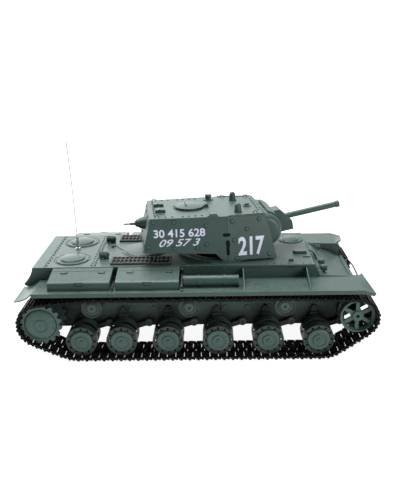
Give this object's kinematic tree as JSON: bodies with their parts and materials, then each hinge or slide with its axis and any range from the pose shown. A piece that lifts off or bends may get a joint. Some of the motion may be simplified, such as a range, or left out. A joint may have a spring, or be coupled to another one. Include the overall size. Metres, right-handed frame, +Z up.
{
  "type": "radio controlled tank",
  "caption": "Radio controlled heavy tank model with a turning turret, elevating gun, sprung road wheels, drive sprockets, idlers, link tracks and a whip aerial.",
  "frame": {"origin": "on the ground, under the middle of the whole model", "axes": "+X towards the tank's front, +Y towards its left side, +Z up"},
  "size_m": [0.4153, 0.2074, 0.2389],
  "materials": {
    "green_plastic": "satin grey-green moulded plastic, lightly sprayed",
    "wheel_green": "satin grey-green moulded plastic",
    "black_plastic": "matte black moulded plastic",
    "grille_brown": "matte brown mesh",
    "bright_metal": "bright plated wire and ferrule",
    "dark_rope": "dark twisted cord",
    "motor_steel": "plated steel",
    "battery_wrap": "shrink wrap",
    "board_green": "soldered circuit board"
  },
  "bodies": {
    "hull": {"lower_hull": "green_plastic", "upper_hull": "green_plastic", "fenders": "green_plastic", "fender_stowage": "green_plastic", "track_right": "black_plastic", "track_left": "black_plastic", "deck_hatches": "green_plastic", "deck_grilles_and_exhausts": "grille_brown", "antenna": "bright_metal", "headlight": "green_plastic", "bow_fittings": "green_plastic", "tow_cable": "dark_rope", "drive_units": "motor_steel", "battery": "battery_wrap", "control_board": "board_green", "hull_screws": "motor_steel", "battery_hatch": "green_plastic"},
    "switch": {"power_switch": "black_plastic"},
    "turret": {"turret_shell": "green_plastic", "turret_roof": "green_plastic", "turret_ring": "green_plastic", "roof_fittings": "green_plastic", "rear_machine_gun": "green_plastic"},
    "hatch": {"turret_hatch": "green_plastic"},
    "gun": {"mantlet": "green_plastic", "gun_barrel": "green_plastic"},
    "sprocket_left": {"drive_sprocket_left": "wheel_green"},
    "idler_left": {"idler_left": "wheel_green"},
    "roller_l1": {"return_roller_l1": "wheel_green"},
    "roller_l2": {"return_roller_l2": "wheel_green"},
    "roller_l3": {"return_roller_l3": "wheel_green"},
    "arm_l1": {"suspension_arm_l1": "black_plastic"},
    "wheel_l1": {"road_wheel_l1": "wheel_green"},
    "arm_l2": {"suspension_arm_l2": "black_plastic"},
    "wheel_l2": {"road_wheel_l2": "wheel_green"},
    "arm_l3": {"suspension_arm_l3": "black_plastic"},
    "wheel_l3": {"road_wheel_l3": "wheel_green"},
    "arm_l4": {"suspension_arm_l4": "black_plastic"},
    "wheel_l4": {"road_wheel_l4": "wheel_green"},
    "arm_l5": {"suspension_arm_l5": "black_plastic"},
    "wheel_l5": {"road_wheel_l5": "wheel_green"},
    "arm_l6": {"suspension_arm_l6": "black_plastic"},
    "wheel_l6": {"road_wheel_l6": "wheel_green"},
    "sprocket_right": {"drive_sprocket_right": "wheel_green"},
    "idler_right": {"idler_right": "wheel_green"},
    "roller_r1": {"return_roller_r1": "wheel_green"},
    "roller_r2": {"return_roller_r2": "wheel_green"},
    "roller_r3": {"return_roller_r3": "wheel_green"},
    "arm_r1": {"suspension_arm_r1": "black_plastic"},
    "wheel_r1": {"road_wheel_r1": "wheel_green"},
    "arm_r2": {"suspension_arm_r2": "black_plastic"},
    "wheel_r2": {"road_wheel_r2": "wheel_green"},
    "arm_r3": {"suspension_arm_r3": "black_plastic"},
    "wheel_r3": {"road_wheel_r3": "wheel_green"},
    "arm_r4": {"suspension_arm_r4": "black_plastic"},
    "wheel_r4": {"road_wheel_r4": "wheel_green"},
    "arm_r5": {"suspension_arm_r5": "black_plastic"},
    "wheel_r5": {"road_wheel_r5": "wheel_green"},
    "arm_r6": {"suspension_arm_r6": "black_plastic"},
    "wheel_r6": {"road_wheel_r6": "wheel_green"}
  },
  "joints": [
    {"name": "turret_traverse", "type": "hinge", "parent": "hull", "child": "turret", "pos_m": [0.0278, 0, 0.104], "axis": [0, 0, 1], "range_deg": [-167.5, 152.5]},
    {"name": "gun_elevation", "type": "hinge", "parent": "turret", "child": "gun", "pos_m": [0.07787, 0.00659, 0.1336], "axis": [0.1305, -0.9914, 0], "range_deg": [-15.5, 9.5]},
    {"name": "hatch_hinge", "type": "hinge", "parent": "turret", "child": "hatch", "pos_m": [0.01214, -0.00055, 0.1598], "axis": [-0.1305, 0.9914, 0], "range_deg": [0, 95]},
    {"name": "switch_slide", "type": "slide", "parent": "hull", "child": "switch", "axis": [1, 0, 0], "range_m": [0, 0.003]},
    {"name": "sprocket_left_spin", "type": "hinge", "parent": "hull", "child": "sprocket_left", "pos_m": [-0.1797, 0.082, 0.0454], "axis": [0, 1, 0], "continuous": true},
    {"name": "idler_left_spin", "type": "hinge", "parent": "hull", "child": "idler_left", "pos_m": [0.18407, 0.082, 0.0504], "axis": [0, 1, 0], "continuous": true},
    {"name": "roller_l1_spin", "type": "hinge", "parent": "hull", "child": "roller_l1", "pos_m": [0.1016, 0.082, 0.0618], "axis": [0, 1, 0], "continuous": true},
    {"name": "roller_l2_spin", "type": "hinge", "parent": "hull", "child": "roller_l2", "pos_m": [-0.0083, 0.082, 0.0618], "axis": [0, 1, 0], "continuous": true},
    {"name": "roller_l3_spin", "type": "hinge", "parent": "hull", "child": "roller_l3", "pos_m": [-0.1205, 0.082, 0.0618], "axis": [0, 1, 0], "continuous": true},
    {"name": "arm_l1_swing", "type": "hinge", "parent": "hull", "child": "arm_l1", "pos_m": [0.1701, 0.062, 0.0318], "axis": [0, 1, 0], "range_deg": [0, 17], "stiffness_Nm_per_rad": 0.1, "springref_deg": -2.86},
    {"name": "wheel_l1_spin", "type": "hinge", "parent": "arm_l1", "child": "wheel_l1", "pos_m": [0.1406, 0.082, 0.0225], "axis": [0, 1, 0], "continuous": true},
    {"name": "arm_l2_swing", "type": "hinge", "parent": "hull", "child": "arm_l2", "pos_m": [0.1121, 0.062, 0.0318], "axis": [0, 1, 0], "range_deg": [0, 17], "stiffness_Nm_per_rad": 0.1, "springref_deg": -2.86},
    {"name": "wheel_l2_spin", "type": "hinge", "parent": "arm_l2", "child": "wheel_l2", "pos_m": [0.0826, 0.082, 0.0225], "axis": [0, 1, 0], "continuous": true},
    {"name": "arm_l3_swing", "type": "hinge", "parent": "hull", "child": "arm_l3", "pos_m": [0.0541, 0.062, 0.0318], "axis": [0, 1, 0], "range_deg": [0, 17], "stiffness_Nm_per_rad": 0.1, "springref_deg": -2.86},
    {"name": "wheel_l3_spin", "type": "hinge", "parent": "arm_l3", "child": "wheel_l3", "pos_m": [0.0246, 0.082, 0.0225], "axis": [0, 1, 0], "continuous": true},
    {"name": "arm_l4_swing", "type": "hinge", "parent": "hull", "child": "arm_l4", "pos_m": [-0.0039, 0.062, 0.0318], "axis": [0, 1, 0], "range_deg": [0, 17], "stiffness_Nm_per_rad": 0.1, "springref_deg": -2.86},
    {"name": "wheel_l4_spin", "type": "hinge", "parent": "arm_l4", "child": "wheel_l4", "pos_m": [-0.0334, 0.082, 0.0225], "axis": [0, 1, 0], "continuous": true},
    {"name": "arm_l5_swing", "type": "hinge", "parent": "hull", "child": "arm_l5", "pos_m": [-0.0579, 0.062, 0.0318], "axis": [0, 1, 0], "range_deg": [0, 17], "stiffness_Nm_per_rad": 0.1, "springref_deg": -2.86},
    {"name": "wheel_l5_spin", "type": "hinge", "parent": "arm_l5", "child": "wheel_l5", "pos_m": [-0.0874, 0.082, 0.0225], "axis": [0, 1, 0], "continuous": true},
    {"name": "arm_l6_swing", "type": "hinge", "parent": "hull", "child": "arm_l6", "pos_m": [-0.1049, 0.062, 0.0318], "axis": [0, 1, 0], "range_deg": [0, 17], "stiffness_Nm_per_rad": 0.1, "springref_deg": -2.86},
    {"name": "wheel_l6_spin", "type": "hinge", "parent": "arm_l6", "child": "wheel_l6", "pos_m": [-0.1344, 0.082, 0.0225], "axis": [0, 1, 0], "continuous": true},
    {"name": "sprocket_right_spin", "type": "hinge", "parent": "hull", "child": "sprocket_right", "pos_m": [-0.1797, -0.082, 0.0454], "axis": [0, 1, 0], "continuous": true},
    {"name": "idler_right_spin", "type": "hinge", "parent": "hull", "child": "idler_right", "pos_m": [0.18407, -0.082, 0.0504], "axis": [0, 1, 0], "continuous": true},
    {"name": "roller_r1_spin", "type": "hinge", "parent": "hull", "child": "roller_r1", "pos_m": [0.1016, -0.082, 0.0618], "axis": [0, 1, 0], "continuous": true},
    {"name": "roller_r2_spin", "type": "hinge", "parent": "hull", "child": "roller_r2", "pos_m": [-0.0083, -0.082, 0.0618], "axis": [0, 1, 0], "continuous": true},
    {"name": "roller_r3_spin", "type": "hinge", "parent": "hull", "child": "roller_r3", "pos_m": [-0.1205, -0.082, 0.0618], "axis": [0, 1, 0], "continuous": true},
    {"name": "arm_r1_swing", "type": "hinge", "parent": "hull", "child": "arm_r1", "pos_m": [0.1701, -0.062, 0.0318], "axis": [0, 1, 0], "range_deg": [0, 17], "stiffness_Nm_per_rad": 0.1, "springref_deg": -2.86},
    {"name": "wheel_r1_spin", "type": "hinge", "parent": "arm_r1", "child": "wheel_r1", "pos_m": [0.1406, -0.082, 0.0225], "axis": [0, 1, 0], "continuous": true},
    {"name": "arm_r2_swing", "type": "hinge", "parent": "hull", "child": "arm_r2", "pos_m": [0.1121, -0.062, 0.0318], "axis": [0, 1, 0], "range_deg": [0, 17], "stiffness_Nm_per_rad": 0.1, "springref_deg": -2.86},
    {"name": "wheel_r2_spin", "type": "hinge", "parent": "arm_r2", "child": "wheel_r2", "pos_m": [0.0826, -0.082, 0.0225], "axis": [0, 1, 0], "continuous": true},
    {"name": "arm_r3_swing", "type": "hinge", "parent": "hull", "child": "arm_r3", "pos_m": [0.0541, -0.062, 0.0318], "axis": [0, 1, 0], "range_deg": [0, 17], "stiffness_Nm_per_rad": 0.1, "springref_deg": -2.86},
    {"name": "wheel_r3_spin", "type": "hinge", "parent": "arm_r3", "child": "wheel_r3", "pos_m": [0.0246, -0.082, 0.0225], "axis": [0, 1, 0], "continuous": true},
    {"name": "arm_r4_swing", "type": "hinge", "parent": "hull", "child": "arm_r4", "pos_m": [-0.0039, -0.062, 0.0318], "axis": [0, 1, 0], "range_deg": [0, 17], "stiffness_Nm_per_rad": 0.1, "springref_deg": -2.86},
    {"name": "wheel_r4_spin", "type": "hinge", "parent": "arm_r4", "child": "wheel_r4", "pos_m": [-0.0334, -0.082, 0.0225], "axis": [0, 1, 0], "continuous": true},
    {"name": "arm_r5_swing", "type": "hinge", "parent": "hull", "child": "arm_r5", "pos_m": [-0.0579, -0.062, 0.0318], "axis": [0, 1, 0], "range_deg": [0, 17], "stiffness_Nm_per_rad": 0.1, "springref_deg": -2.86},
    {"name": "wheel_r5_spin", "type": "hinge", "parent": "arm_r5", "child": "wheel_r5", "pos_m": [-0.0874, -0.082, 0.0225], "axis": [0, 1, 0], "continuous": true},
    {"name": "arm_r6_swing", "type": "hinge", "parent": "hull", "child": "arm_r6", "pos_m": [-0.1049, -0.062, 0.0318], "axis": [0, 1, 0], "range_deg": [0, 17], "stiffness_Nm_per_rad": 0.1, "springref_deg": -2.86},
    {"name": "wheel_r6_spin", "type": "hinge", "parent": "arm_r6", "child": "wheel_r6", "pos_m": [-0.1344, -0.082, 0.0225], "axis": [0, 1, 0], "continuous": true}
  ],
  "couplings": [
    {"joint": "idler_left_spin", "follows": "sprocket_left_spin", "ratio": 1.1268},
    {"joint": "roller_l1_spin", "follows": "sprocket_left_spin", "ratio": 2.1221},
    {"joint": "roller_l2_spin", "follows": "sprocket_left_spin", "ratio": 2.1221},
    {"joint": "roller_l3_spin", "follows": "sprocket_left_spin", "ratio": 2.1221},
    {"joint": "wheel_l1_spin", "follows": "sprocket_left_spin", "ratio": 1.4147},
    {"joint": "wheel_l2_spin", "follows": "sprocket_left_spin", "ratio": 1.4147},
    {"joint": "wheel_l3_spin", "follows": "sprocket_left_spin", "ratio": 1.4147},
    {"joint": "wheel_l4_spin", "follows": "sprocket_left_spin", "ratio": 1.4147},
    {"joint": "wheel_l5_spin", "follows": "sprocket_left_spin", "ratio": 1.4147},
    {"joint": "wheel_l6_spin", "follows": "sprocket_left_spin", "ratio": 1.4147},
    {"joint": "idler_right_spin", "follows": "sprocket_right_spin", "ratio": 1.1268},
    {"joint": "roller_r1_spin", "follows": "sprocket_right_spin", "ratio": 2.1221},
    {"joint": "roller_r2_spin", "follows": "sprocket_right_spin", "ratio": 2.1221},
    {"joint": "roller_r3_spin", "follows": "sprocket_right_spin", "ratio": 2.1221},
    {"joint": "wheel_r1_spin", "follows": "sprocket_right_spin", "ratio": 1.4147},
    {"joint": "wheel_r2_spin", "follows": "sprocket_right_spin", "ratio": 1.4147},
    {"joint": "wheel_r3_spin", "follows": "sprocket_right_spin", "ratio": 1.4147},
    {"joint": "wheel_r4_spin", "follows": "sprocket_right_spin", "ratio": 1.4147},
    {"joint": "wheel_r5_spin", "follows": "sprocket_right_spin", "ratio": 1.4147},
    {"joint": "wheel_r6_spin", "follows": "sprocket_right_spin", "ratio": 1.4147}
  ]
}
